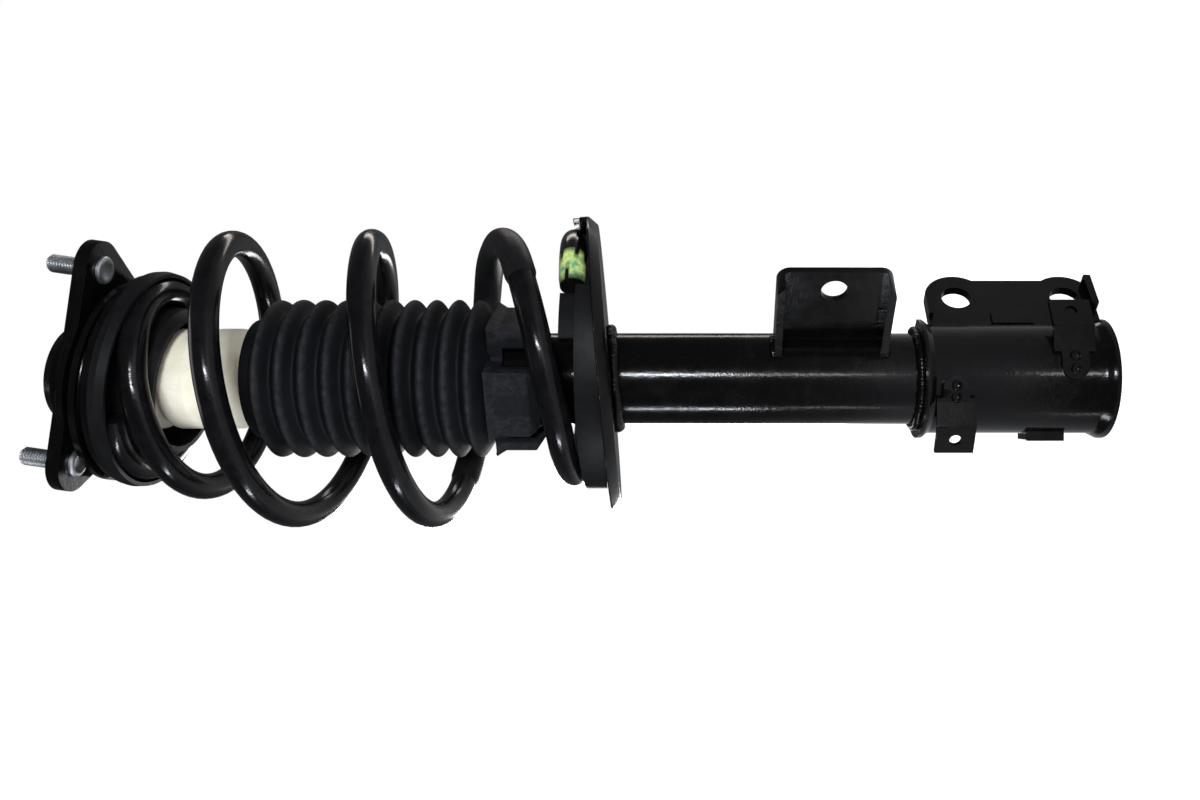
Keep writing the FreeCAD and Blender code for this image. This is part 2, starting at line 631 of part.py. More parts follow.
PIECES = {
    "reserve_tube": reserve_tube,
    "base_cap": base_cap,
    "base_valve": base_valve,
    "pressure_tube": pressure_tube,
    "rod_guide": rod_guide,
    "guide_bush": guide_bush,
    "rod_seal": rod_seal,
    "striker_cap": striker_cap,
    "knuckle_bracket": knuckle_bracket,
    "link_bracket": link_bracket,
    "hose_strap": hose_strap,
    "wire_strap": wire_strap,
    "lower_tab": lower_tab,
    "lower_seat": lower_seat,
    "lower_pad": lower_pad,
    "coil_spring": coil_spring,
    "spring_sleeve": spring_sleeve,
    "dust_boot": dust_boot,
    "piston_rod": piston_rod,
    "piston": piston,
    "piston_band": piston_band,
    "piston_nut": lambda: hex_nut(16.0, PISTON_NECK_R, 231, 240),
    "rebound_washer": lambda: ring(15.2, ROD_R, 267, 270),
    "rebound_stop": rebound_stop,
    "bump_stop": bump_stop,
    "upper_seat": upper_seat,
    "upper_pad": upper_pad,
    "lower_race": lambda: race(UPPER_SEAT_TOP, BALL_Z - 1.5),
    "ball_bush": ball_bush,
    "rod_washer": lambda: ring(13.0, ROD_NECK_R, BUSH_Z + BUSH_HALF, BUSH_Z + BUSH_HALF + 2.5),
    "rod_nut": lambda: hex_nut(21.0, ROD_NECK_R, BUSH_Z + BUSH_HALF + 2.5, BUSH_Z + BUSH_HALF + 11),
    "bearing_cage": bearing_cage,
    "bearing_balls": bearing_balls,
    "upper_race": lambda: race(FACE_Z, BALL_Z + 1.5),
    "mount_shell": mount_shell,
    "mount_rubber": mount_rubber,
    "mount_plate": mount_plate,
    "mount_cap": mount_cap,
    "tower_studs": tower_studs,
}

os.makedirs("parts", exist_ok=True)
for piece_name, make_piece in PIECES.items():
    save(piece_name, make_piece())
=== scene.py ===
"""Looks for the strut assembly. Lengths are millimetres about the damper's axis, +Z towards the tower mount;
place() turns them into the frame's metres."""
import json
import math

import bpy
from mathutils import Matrix, Vector, noise

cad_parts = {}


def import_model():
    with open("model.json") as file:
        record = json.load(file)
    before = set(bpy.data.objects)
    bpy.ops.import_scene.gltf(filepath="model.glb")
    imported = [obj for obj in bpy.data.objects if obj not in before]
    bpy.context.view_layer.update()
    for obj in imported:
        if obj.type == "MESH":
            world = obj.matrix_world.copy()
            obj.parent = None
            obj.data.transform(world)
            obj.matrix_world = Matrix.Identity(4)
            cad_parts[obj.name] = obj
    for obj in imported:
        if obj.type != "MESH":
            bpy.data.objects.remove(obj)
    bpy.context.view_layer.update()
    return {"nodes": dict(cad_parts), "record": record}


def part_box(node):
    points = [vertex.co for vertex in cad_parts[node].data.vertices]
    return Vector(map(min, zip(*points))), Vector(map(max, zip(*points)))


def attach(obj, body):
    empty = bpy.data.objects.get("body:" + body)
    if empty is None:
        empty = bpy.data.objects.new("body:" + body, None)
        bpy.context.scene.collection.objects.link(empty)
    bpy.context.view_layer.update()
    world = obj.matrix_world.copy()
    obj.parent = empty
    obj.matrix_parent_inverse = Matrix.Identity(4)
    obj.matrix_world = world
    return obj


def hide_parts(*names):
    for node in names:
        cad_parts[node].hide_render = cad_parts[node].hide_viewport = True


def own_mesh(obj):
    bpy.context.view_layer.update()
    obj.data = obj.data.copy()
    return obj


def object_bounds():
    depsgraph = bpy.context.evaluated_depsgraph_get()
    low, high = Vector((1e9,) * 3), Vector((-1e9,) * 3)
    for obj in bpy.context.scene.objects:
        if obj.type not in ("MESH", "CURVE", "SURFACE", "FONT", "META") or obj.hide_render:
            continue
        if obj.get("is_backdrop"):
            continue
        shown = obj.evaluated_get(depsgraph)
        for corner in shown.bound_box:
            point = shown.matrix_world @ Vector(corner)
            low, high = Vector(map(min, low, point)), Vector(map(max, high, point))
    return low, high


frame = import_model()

MM = 0.001
tube_low, tube_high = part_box("reserve_tube")
AXIS_X = (tube_low.x + tube_high.x) / 2

# ---- Sizes shared with the CAD model ----
TUBE_R = 25.5
BRACKET_SHEET, STRAP_SHEET = 5.0, 2.4
FRONT_AZ = -132.0        # side that carries the clip straps
LEAN_AZ = FRONT_AZ + 90  # side towards which the tower mount leans
LEAN = 8.0
BUSH_Z = 507.0           # centre of the ball bush
FACE_Z = 504.4           # underside of the mount plate
PLATE_SHEET = 3.6
STUD_R, STUD_KNURL_R, STUD_HEAD_R = 5.0, 5.5, 7.5
STUD_LENGTH, STUD_PCD = 28.5, 120.0
STUD_OFFSET = 6.3        # stud circle's centre from the swivel axis, towards LEAN_AZ
THREAD_PITCH = 1.5
SEAT_Z, SEAT_TILT = 227.5, 6.4
SEAT_OFFSET = 3.0        # upper seat's centre from the swivel axis, towards LEAN_AZ
UPPER_SEAT_TOP, UPPER_SEAT_SHEET = 493.6, 2.0
UPPER_PAD_SHEET, UPPER_PAD_GAP = 2.9, 0.3
WIRE_R = 7.2
COIL_TOP_R = 49.5
COIL_TOP_TURN = -0.68    # where the wire starts on the upper seat
COIL_CENTRE_X = 15.8     # lower end coil, offset towards the ears
# turn, height, coil radius, offset of the coil's centre along X
COIL_STATIONS = [
    (0.25, 470.3, 49.8, 0.0),
    (0.50, 456.0, 60.5, 0.0),
    (1.00, 436.0, 75.0, 0.0),
    (1.50, 400.0, 75.8, 0.0),
    (2.00, 360.0, 76.0, 0.0),
    (2.50, 324.5, 76.0, 0.0),
    (2.80, 313.5, 76.0, 0.0),
    (2.90, 305.5, 75.8, 0.5),
    (3.00, 290.5, 75.0, 1.0),
    (3.10, 274.0, 74.2, 3.0),
    (3.25, 256.0, 71.0, 8.0),
    (3.36, 249.6, 68.0, 13.0),
    (3.50, 248.3, 65.8, COIL_CENTRE_X),
    (3.75, 249.0, 65.8, COIL_CENTRE_X),
    (3.88, 249.5, 65.8, COIL_CENTRE_X),
    (4.00, 248.3, 65.8, COIL_CENTRE_X),
    (4.16, 243.6, 65.8, COIL_CENTRE_X),
]
SLEEVE_TURNS = (2.6, 3.14)
BOOT_FOOT, BOOT_HEAD = 263.0, 423.0
BOOT_PEAK_R, BOOT_VALLEY_R, BOOT_NECK_R = 44.0, 37.0, 28.2
BOOT_PITCH, BOOT_PEAKS, BOOT_LAST_PEAK, BOOT_WALL = 12.4, 10, 299.5, 1.6
BELLOWS_BOTTOM = 290.0
LUG_REACH, LUG_HALF_WIDTH = 35.5, 19.0
LUG_AZ, NOTCH_AZ = FRONT_AZ - 25, FRONT_AZ + 20
BUMP_TOP, BUMP_BOTTOM, BUMP_R, ROD_R = 485.0, 395.0, 28.0, 11.0

# ---- Sizes of the looks alone ----
WIRE_SIDES = 36
PAINT_DAB_TURNS = (4.118, 4.147)
BOOT_ROW = 0.62                           # height of a row of the bellows' mesh
SKIRT_TOP = 291.0
LUG_TAPER = 8.0                           # height over which a lug swells from the neck
LUG_ROOF_Z, LUG_ROOF_HEIGHT = 286.0, 6.0
NOTCH_TOP, NOTCH_HALF_ANGLE = 283.5, 9
SPOT_WELD_R = 2.7
CAMERA_REACH, CAMERA_DROP, CAMERA_Z = 615, 12, 171


# ---- Geometry helpers ----
def place(x, y, z):
    return Vector((AXIS_X + x * MM, y * MM, z * MM))


def polar(azimuth, radius, z):
    angle = math.radians(azimuth)
    return Vector((radius * math.cos(angle), radius * math.sin(angle), z))


def leaned(v):
    """A point of the tower mount, leaned about the ball bush."""
    pivot = Vector((0, 0, BUSH_Z))
    turn = Matrix.Rotation(math.radians(LEAN), 3, polar(LEAN_AZ + 90, 1, 0))
    return turn @ (v - pivot) + pivot


def make_piece(name, points, faces, crease=35.0):
    """Mesh object from millimetre points about the damper's axis."""
    mesh = bpy.data.meshes.new(name)
    mesh.from_pydata([place(*p) for p in points], [], faces)
    mesh.validate()
    mesh.shade_smooth()
    mesh.set_sharp_from_angle(angle=math.radians(crease))
    piece = bpy.data.objects.new(name, mesh)
    bpy.context.scene.collection.objects.link(piece)
    return piece


def lathe(name, profile, segments=128, shape=None, crease=35.0):
    """Closed (radius, height) outline turned about the axis; shape may move each point."""
    points, faces = [], []
    count = len(profile)
    for k in range(segments):
        for r, z in profile:
            p = polar(360 * k / segments, r, z)
            points.append(shape(p) if shape else p)
    for k in range(segments):
        a, b = k * count, (k + 1) % segments * count
        for i in range(count):
            j = (i + 1) % count
            faces.append((a + i, b + i, b + j, a + j))
    return make_piece(name, points, faces, crease)


def band(row, sides):
    """Quads that join one ring of points to the next."""
    a, b = row * sides, (row + 1) * sides
    return [(a + j, a + (j + 1) % sides, b + (j + 1) % sides, b + j) for j in range(sides)]


def sweep(name, centres, radius_at, sides=32, crease=35.0):
    """Round bar along centres, with flat ends; radius_at(row, side) gives its radius in millimetres."""
    points, faces = [], []
    last = len(centres) - 1
    side_way = None
    for i, centre in enumerate(centres):
        ahead = (centres[min(i + 1, last)] - centres[max(i - 1, 0)]).normalized()
        if side_way is None:
            side_way = ahead.orthogonal()
        side_way = (side_way - ahead * side_way.dot(ahead)).normalized()
        across = ahead.cross(side_way)
        for j in range(sides):
            angle = 2 * math.pi * j / sides
            out = side_way * math.cos(angle) + across * math.sin(angle)
            points.append(centre + out * radius_at(i, j))
    for i in range(last):
        faces += band(i, sides)
    faces.append(tuple(range(sides))[::-1])
    faces.append(tuple(last * sides + j for j in range(sides)))
    return make_piece(name, points, faces, crease)


def rounded(outline, radius, steps=4):
    """Round every corner of a closed (r, z) outline by at most that radius."""
    result = []
    count = len(outline)
    for i in range(count):
        before, corner, after = (Vector(outline[(i + k) % count]) for k in (-1, 0, 1))
        back, ahead = before - corner, after - corner
        reach = min(radius, back.length * 0.45, ahead.length * 0.45)
        start = corner + back.normalized() * reach
        end = corner + ahead.normalized() * reach
        for k in range(steps + 1):
            t = k / steps
            p = start * (1 - t) ** 2 + corner * 2 * t * (1 - t) + end * t ** 2
            result.append((p.x, p.y))
    return result


def bead(name, route, radius, ripple=2.2, sides=12, seed=0.0):
    """Weld bead with its row of ripples along a millimetre route."""
    fine = []
    for a, b in zip(route, route[1:]):
        steps = max(1, round((b - a).length / (ripple / 5)))
        fine += [a.lerp(b, k / steps) for k in range(steps)]
    fine.append(route[-1])
    lengths = [0.0]
    for a, b in zip(fine, fine[1:]):
        lengths.append(lengths[-1] + (b - a).length)

    def radius_at(i, j):
        along = lengths[i]
        wave = abs(math.sin(math.pi * along / ripple + math.sin(2 * math.pi * j / sides) * 0.7))
        rough = noise.noise(Vector((along * 0.25, seed, j * 0.2)))
        ends = min(1.0, 0.45 + along / 4, 0.45 + (lengths[-1] - along) / 4)
        return radius * ends * (0.86 + 0.16 * wave + 0.22 * rough)

    return sweep(name, fine, radius_at, sides, 80.0)


# ---- Materials ----
class Maker:
    """One procedural material built round a Principled shader."""

    def __init__(self, name, roughness, metallic=0.0, **constants):
        self.material = bpy.data.materials.new(name)
        self.material.use_nodes = True
        self.tree = self.material.node_tree
        self.shader = self.tree.nodes["Principled BSDF"]
        self.shader.inputs["Roughness"].default_value = roughness
        self.shader.inputs["Metallic"].default_value = metallic
        for socket, value in constants.items():
            self.shader.inputs[socket.replace("_", " ")].default_value = value
        self.coords = self.tree.nodes.new("ShaderNodeTexCoord").outputs["Object"]

    def node(self, kind, **settings):
        made = self.tree.nodes.new(kind)
        for key, value in settings.items():
            setattr(made, key, value)
        return made

    def link(self, output, socket):
        self.tree.links.new(output, socket)

    def grain(self, per_metre, detail=3.0, roughness=0.55, stretch=None):
        """Noise between 0 and 1, with about per_metre cells to the metre."""
        made = self.node("ShaderNodeTexNoise")
        made.inputs["Scale"].default_value = per_metre
        made.inputs["Detail"].default_value = detail
        made.inputs["Roughness"].default_value = roughness
        source = self.coords
        if stretch:
            mapping = self.node("ShaderNodeMapping")
            mapping.inputs["Scale"].default_value = stretch
            self.link(source, mapping.inputs["Vector"])
            source = mapping.outputs["Vector"]
        self.link(source, made.inputs["Vector"])
        return made.outputs["Fac"]

    def ramp(self, factor, low, high, dark, light):
        """Colours from dark below low to light above high."""
        made = self.node("ShaderNodeValToRGB")
        made.color_ramp.elements[0].position = low
        made.color_ramp.elements[1].position = high
        made.color_ramp.elements[0].color = (*dark, 1)
        made.color_ramp.elements[1].color = (*light, 1)
        self.link(factor, made.inputs["Fac"])
        return made.outputs["Color"]

    def mix(self, factor, first, second):
        made = self.node("ShaderNodeMix", data_type="RGBA")
        self.link(factor, made.inputs["Factor"])
        for value, socket in ((first, made.inputs["A"]), (second, made.inputs["B"])):
            if isinstance(value, tuple):
                socket.default_value = (*value, 1)
            else:
                self.link(value, socket)
        return made.outputs["Result"]

    def between(self, factor, low, high):
        """Map 0..1 to low..high, for a roughness."""
        made = self.node("ShaderNodeMapRange")
        made.inputs["To Min"].default_value = low
        made.inputs["To Max"].default_value = high
        self.link(factor, made.inputs["Value"])
        return made.outputs["Result"]

    def colour(self, output):
        self.link(output, self.shader.inputs["Base Color"])
        return self

    def rough(self, output):
        self.link(output, self.shader.inputs["Roughness"])
        return self

    def bump(self, height, depth_mm, strength=1.0):
        made = self.node("ShaderNodeBump")
        made.inputs["Distance"].default_value = depth_mm * MM
        made.inputs["Strength"].default_value = strength
        self.link(height, made.inputs["Height"])
        earlier = self.shader.inputs["Normal"]
        if earlier.is_linked:
            self.link(earlier.links[0].from_socket, made.inputs["Normal"])
        self.link(made.outputs["Normal"], earlier)
        return self


def enamel(name, peel=0.06, gloss=0.12, dusty=0.5):
    """Black stoving paint on steel sheet, with orange peel and a little dust."""
    m = Maker(name, gloss, Specular_IOR_Level=0.11)
    clean, dull = (0.0018, 0.0017, 0.0019), (0.0058, 0.0052, 0.0049)
    dust = m.ramp(m.grain(55, 6, 0.7), dusty, dusty + 0.28, clean, dull)
    specks = m.ramp(m.grain(1400, 2), 0.70, 0.78, (0, 0, 0), (1, 1, 1))
    m.colour(m.mix(specks, dust, (0.020, 0.019, 0.018)))
    m.rough(m.between(m.grain(140, 5, 0.65), gloss - 0.06, gloss + 0.12))
    m.bump(m.grain(260, 2, 0.5), peel * 1.6, 0.5)
    m.bump(m.grain(850, 1, 0.4), peel * 0.9, 0.8)
    return m.material


def wire_paint():
    """Smooth powder coat of the spring, with the maker's paint dab near the wire's end."""
    m = Maker("spring_powder_coat", 0.2, Specular_IOR_Level=0.12)
    base = m.ramp(m.grain(90, 4, 0.6), 0.4, 0.75, (0.0024, 0.0024, 0.0028), (0.0055, 0.0052, 0.0055))
    dab = m.node("ShaderNodeAttribute", attribute_name="paint_dab").outputs["Fac"]
    smear = m.ramp(m.grain(160, 4, 0.7), 0.36, 0.62, (0.10, 0.30, 0.16), (0.62, 0.74, 0.22))
    m.colour(m.mix(dab, base, smear))
    m.rough(m.between(m.grain(210, 4, 0.6), 0.10, 0.22))
    m.bump(m.grain(500, 2, 0.5), 0.12, 0.35)
    return m.material


def boot_rubber():
    """Bellows rubber: blue-grey and matte, dusty on the ridges and bloomed in patches."""
    m = Maker("boot_rubber", 0.6, Specular_IOR_Level=0.09)
    ridge = m.node("ShaderNodeAttribute", attribute_name="ridge").outputs["Fac"]
    base = m.ramp(m.grain(45, 6, 0.7), 0.35, 0.75, (0.0024, 0.0026, 0.0034), (0.0056, 0.0060, 0.0072))
    chalk = m.ramp(m.grain(260, 5, 0.75), 0.38, 0.8, (0.005, 0.0055, 0.0068), (0.024, 0.0255, 0.029))
    m.colour(m.mix(ridge, base, chalk))
    m.rough(m.between(m.grain(120, 4, 0.6), 0.5, 0.75))
    m.bump(m.grain(900, 4, 0.7), 0.12, 0.5)
    m.bump(m.grain(60, 2, 0.5), 0.5, 0.25)
    return m.material


def rubber(name, dark, light, roughness):
    m = Maker(name, roughness, Specular_IOR_Level=0.09)
    m.colour(m.ramp(m.grain(70, 6, 0.7), 0.35, 0.8, dark, light))
    m.rough(m.between(m.grain(160, 4, 0.6), roughness - 0.1, roughness + 0.12))
    m.bump(m.grain(1100, 4, 0.7), 0.1, 0.45)
    return m.material


def foam():
    """Cast polyurethane foam: cream, fine pored, a little darker where handled."""
    m = Maker("bump_foam", 0.75, Subsurface_Weight=0.06)
    m.colour(m.ramp(m.grain(40, 5, 0.6), 0.3, 0.8, (0.62, 0.57, 0.44), (0.80, 0.77, 0.66)))
    pores = m.node("ShaderNodeTexVoronoi")
    pores.inputs["Scale"].default_value = 900
    m.link(m.coords, pores.inputs["Vector"])
    m.bump(pores.outputs["Distance"], 0.25, 0.6)
    m.bump(m.grain(300, 3, 0.6), 0.2, 0.4)
    return m.material


def plated(name, dark, light, roughness, lines=(1, 1, 1), depth=0.03):
    """Metal with a plating or machined finish; lines stretches its grain."""
    m = Maker(name, roughness, 1.0)
    m.colour(m.ramp(m.grain(140, 5, 0.65), 0.3, 0.75, dark, light))
    m.rough(m.between(m.grain(380, 4, 0.6, lines), roughness - 0.08, roughness + 0.14))
    m.bump(m.grain(900, 3, 0.6, lines), depth, 0.4)
    return m.material


def iron(name):
    """Sintered iron: dark, pitted and dull."""
    m = Maker(name, 0.55, 0.85)
    m.colour(m.ramp(m.grain(500, 5, 0.7), 0.35, 0.75, (0.07, 0.07, 0.072), (0.22, 0.22, 0.22)))
    m.bump(m.grain(1500, 4, 0.7), 0.12, 0.6)
    return m.material


def plastic(name, dark, light, roughness):
    m = Maker(name, roughness)
    m.colour(m.ramp(m.grain(90, 4, 0.6), 0.35, 0.75, dark, light))
    m.rough(m.between(m.grain(260, 3, 0.6), roughness - 0.08, roughness + 0.1))
    m.bump(m.grain(1200, 3, 0.6), 0.06, 0.4)
    return m.material


MATERIALS = {
    "black_paint": enamel("black_enamel"),
    "spring_paint": wire_paint(),
    "black_rubber": rubber("pad_rubber", (0.0025, 0.0025, 0.0028), (0.0070, 0.0070, 0.0078), 0.5),
    "boot_rubber": boot_rubber(),
    "sleeve_plastic": rubber("sleeve_plastic", (0.0040, 0.0040, 0.0045), (0.0090, 0.0090, 0.0095), 0.42),
    "bump_foam": foam(),
    "rod_chrome": plated("rod_chrome", (0.60, 0.62, 0.65), (0.72, 0.73, 0.76), 0.12, (1, 1, 8), 0.01),
    "zinc_plate": plated("zinc_plate", (0.30, 0.31, 0.32), (0.44, 0.45, 0.47), 0.42, depth=0.012),
    "bare_steel": plated("bare_steel", (0.36, 0.36, 0.37), (0.52, 0.52, 0.53), 0.32, (1, 1, 6)),
    "bearing_steel": plated("bearing_steel", (0.50, 0.50, 0.52), (0.66, 0.66, 0.68), 0.16, depth=0.01),
    "sintered_iron": iron("sintered_iron"),
    "cage_nylon": plastic("cage_nylon", (0.50, 0.47, 0.37), (0.64, 0.61, 0.50), 0.45),
    "slide_polymer": plastic("slide_polymer", (0.05, 0.09, 0.07), (0.10, 0.16, 0.13), 0.4),
}


def dress(piece, slot_name, material=None):
    piece.data.materials.clear()
    piece.data.materials.append(material or MATERIALS[slot_name])
    return piece


def finish_piece(piece, slot_name, body, *nodes):
    """Material, slot, body and the CAD nodes that the piece stands for."""
    dress(piece, slot_name)
    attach(piece, body)
    if nodes:
        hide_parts(*nodes)
    return piece


def soften(node, width_mm, angle):
    """Rounded edges on a CAD sheet-metal node, as pressing and painting leave them."""
    piece = frame["nodes"][node]
    weld = piece.modifiers.new("join", "WELD")
    weld.merge_threshold = 0.005 * MM
    bevel = piece.modifiers.new("edges", "BEVEL")
    bevel.width = width_mm * MM
    bevel.segments = 3
    bevel.limit_method = "ANGLE"
    bevel.angle_limit = math.radians(angle)
    bevel.use_clamp_overlap = True
    bevel.harden_normals = False


# ---- Coil spring ----
def between_stations(turn, column):
    """Smooth curve through the coil's stations, whose slopes never overshoot."""
    xs = [row[0] for row in COIL_STATIONS]
    ys = [row[column] for row in COIL_STATIONS]
    rises = [(ys[i + 1] - ys[i]) / (xs[i + 1] - xs[i]) for i in range(len(xs) - 1)]
    slopes = [rises[0]]
    for before, after in zip(rises, rises[1:]):
        slopes.append(2 * before * after / (before + after) if before * after > 0 else 0.0)
    slopes.append(rises[-1])
    i = max(k for k in range(len(xs) - 1) if k == 0 or xs[k] <= turn)
    width = xs[i + 1] - xs[i]
    t = (turn - xs[i]) / width
    return ((2 * t ** 3 - 3 * t ** 2 + 1) * ys[i] + (t ** 3 - 2 * t ** 2 + t) * width * slopes[i]
            + (3 * t ** 2 - 2 * t ** 3) * ys[i + 1] + (t ** 3 - t ** 2) * width * slopes[i + 1])


def coil_point(turn):
    """Centre of the wire after a number of turns down from the leaning side."""
    azimuth = LEAN_AZ - 360 * turn
    first = COIL_STATIONS[0][0]
    level = UPPER_SEAT_TOP - UPPER_SEAT_SHEET - UPPER_PAD_SHEET - UPPER_PAD_GAP - WIRE_R
    upper = leaned(polar(LEAN_AZ, SEAT_OFFSET, 0) + polar(azimuth, COIL_TOP_R, level))
    if turn <= 0:
        return upper
    at = max(turn, first)
    lower = polar(azimuth, between_stations(at, 2), between_stations(at, 1))
    lower.x += between_stations(at, 3)
    if turn >= first:
        return lower
    share = turn / first
    return upper.lerp(lower, share * share * (3 - 2 * share))


def wire_route(first, last, per_turn=72):
    steps = round((last - first) * per_turn)
    return [coil_point(first + (last - first) * k / steps) for k in range(steps + 1)]


def coil_spring():
    """The wire, with paint_dab marking the points under the maker's dab of paint."""
    first, last = COIL_TOP_TURN, COIL_STATIONS[-1][0]
    route = wire_route(first, last)
    rows = len(route)

    def radius_at(i, j):
        from_end = min(i, rows - 1 - i)
        return WIRE_R - (0.6 if from_end == 0 else 0.0)

    piece = sweep("coil_spring_wire", route, radius_at, WIRE_SIDES)
    dab_low, dab_high = PAINT_DAB_TURNS
    values = []
    for i in range(rows):
        turn = first + (last - first) * i / (rows - 1)
        for j in range(WIRE_SIDES):
            ragged = 0.004 * noise.noise(Vector((j * 0.3, turn * 9, 0)))
            inside = dab_low < turn + ragged < dab_high
            values.append(1.0 if inside else 0.0)
    attribute = piece.data.attributes.new("paint_dab", "FLOAT", "POINT")
    attribute.data.foreach_set("value", values)
    return finish_piece(piece, "spring_paint", "strut_body", "coil_spring")


def spring_sleeve():
    """Split hose pushed over the wire, a little loose and uneven at its two ends."""
    route = wire_route(*SLEEVE_TURNS, per_turn=120)
    rows = len(route)

    def radius_at(i, j):
        if i in (0, rows - 1):
            return WIRE_R + 0.1
        uneven = 0.10 * noise.noise(Vector((i * 0.05, j * 0.3, 3.0)))
        slit = -0.55 if j == 5 else 0.0
        return WIRE_R + 1.05 + uneven + slit

    piece = sweep("spring_sleeve_hose", route, radius_at, 40, 45.0)
    return finish_piece(piece, "sleeve_plastic", "strut_body", "spring_sleeve")


# ---- Dust boot ----
def boot_radius(z):
    """Outer radius of the bellows at a height, with blunt ridges and tighter valleys."""
    top = BOOT_LAST_PEAK + (BOOT_PEAKS - 1) * BOOT_PITCH
    if z > top:
        rise = min(1.0, (z - top) / 6.5)
        return BOOT_PEAK_R - 11.0 * rise ** 1.4 * (1.6 - 0.6 * rise)
    if z < BOOT_LAST_PEAK:
        fall = min(1.0, (BOOT_LAST_PEAK - z) / 10.0)
        return BOOT_PEAK_R - (BOOT_PEAK_R - BOOT_NECK_R) * fall ** 1.25
    phase = (z - BOOT_LAST_PEAK) / BOOT_PITCH
    wave = 0.5 + 0.5 * math.cos(2 * math.pi * phase)
    number = round(phase)
    wider = 0.5 * noise.noise(Vector((number * 3.7, 0, 0)))
    return BOOT_VALLEY_R + (BOOT_PEAK_R - BOOT_VALLEY_R + wider) * wave ** 0.8


def mark_ridges(piece, rule):
    """Set the ridge attribute, how dusty a point is, from its radius and height."""
    attribute = piece.data.attributes.new("ridge", "FLOAT", "POINT")
    values = []
    for vertex in piece.data.vertices:
        x, y, z = (vertex.co - place(0, 0, 0)) / MM
        values.append(rule(math.hypot(x, y), z))
    attribute.data.foreach_set("value", values)


def dust_boot():
    length = BOOT_HEAD - BELLOWS_BOTTOM
    count = round(length / BOOT_ROW)
    heights = [BOOT_HEAD - k * length / count for k in range(count + 1)]
    outer = [(boot_radius(z), z) for z in heights]
    inner = [(r - BOOT_WALL, z) for r, z in outer]

    def settled(p):
        """A slight unevenness, as soft bellows lie."""
        lean = 0.35 * noise.noise(Vector((p.z * 0.05, math.atan2(p.y, p.x), 0)))
        return Vector((p.x, p.y, p.z + lean))

    bellows = lathe("dust_boot_bellows", outer + inner[::-1], 144, settled, 60.0)

    def ridge(r, z):
        near = (r - BOOT_PEAK_R + 2.6) / 2.6
        return max(0.0, min(1.0, near))

    mark_ridges(bellows, ridge)
    finish_piece(bellows, "boot_rubber", "strut_body", "dust_boot")
    return [bellows, boot_skirt()]


def from_quarter(azimuth, start):
    """Degrees from an azimuth to the nearest of four that are a quarter turn apart."""
    return (azimuth - start + 45) % 90 - 45


def skirt_radius(azimuth, z):
    """Outer radius of the castellated skirt: four square lugs round a plain neck."""
    angle = math.radians(abs(from_quarter(azimuth, LUG_AZ)))
    square = LUG_REACH / math.cos(angle)
    if math.sin(angle) > 0.01:
        square = min(square, LUG_HALF_WIDTH / math.sin(angle))
    taper = min(1.0, 0.25 + (z - BOOT_FOOT) / LUG_TAPER)
    roof = max(0.0, (z - LUG_ROOF_Z) / LUG_ROOF_HEIGHT)
    lug = BOOT_NECK_R + (square - BOOT_NECK_R) * taper + roof * 4
    return max(BOOT_NECK_R + roof * 1.5, lug if square > BOOT_NECK_R else 0.0)


def boot_skirt():
    """The skirt's wall, open at a notch between each two lugs."""
    segments, rows = 240, 30
    low, high = BOOT_FOOT + 0.3, SKIRT_TOP
    points, faces = [], []
    for i in range(rows + 1):
        z = low + (high - low) * i / rows
        for j in range(segments):
            azimuth = 360 * j / segments
            points.append(polar(azimuth, skirt_radius(azimuth, z), z))
    for i in range(rows):
        z = low + (high - low) * (i + 0.5) / rows
        for j, face in enumerate(band(i, segments)):
            off_notch = abs(from_quarter(360 * (j + 0.5) / segments, NOTCH_AZ))
            if off_notch >= NOTCH_HALF_ANGLE or z >= NOTCH_TOP:
                faces.append(face)
    skirt = make_piece("dust_boot_skirt", points, faces, 40.0)
    wall = skirt.modifiers.new("wall", "SOLIDIFY")
    wall.thickness = BOOT_WALL * MM
    wall.offset = -1.0
    apply_modifiers(skirt)
    mark_ridges(skirt, lambda r, z: 0.75 if z < BOOT_FOOT + 1.5 or r > 36 else 0.25)
    return finish_piece(skirt, "boot_rubber", "strut_body")


def apply_modifiers(piece):
    """Make the piece's modifiers part of its mesh."""
    bpy.context.view_layer.update()
    evaluated = piece.evaluated_get(bpy.context.evaluated_depsgraph_get())
    mesh = bpy.data.meshes.new_from_object(evaluated)
    piece.modifiers.clear()
    piece.data = mesh


# ---- Bump stop ----
def bump_stop():
    """Foam sleeve on the rod, with three waists where it folds."""
    waists = 3
    pitch = (BUMP_TOP - BUMP_BOTTOM - 22) / waists
    outline = [(ROD_R + 0.2, BUMP_TOP), (BUMP_R, BUMP_TOP)]
    for k in range(waists):
        z = BUMP_TOP - 8 - k * pitch
        outline += [(BUMP_R, z), (BUMP_R - 4.5, z - 4), (BUMP_R, z - 8)]
    outline += [(BUMP_R, BUMP_BOTTOM + 16), (19, BUMP_BOTTOM), (ROD_R + 0.2, BUMP_BOTTOM)]
    piece = lathe("bump_stop_foam", rounded(outline, 2.2), 96, crease=60.0)
    return finish_piece(piece, "bump_foam", "rod_and_seat", "bump_stop")


# ---- Tower studs ----
def stud_places():
    centre = polar(LEAN_AZ, STUD_OFFSET, 0)
    return [centre + polar(FRONT_AZ + turn, STUD_PCD / 2, 0) for turn in (60, -60, 180)]


def thread_radius(azimuth, height, start, end):
    """Radius of a 60 degree thread that fades in at start and is chamfered at end."""
    phase = (height / THREAD_PITCH - azimuth / 360) % 1
    tooth = min(1.0, max(0.0, abs(phase - 0.5) * 2.6 - 0.15))
    depth = 0.61 * THREAD_PITCH * min(1.0, max(0.0, (height - start) / 1.2))
    chamfer = max(0.0, height - (end - 1.6)) * 0.9
    return min(STUD_R - depth * (1 - tooth), STUD_R - 0.05 - chamfer)


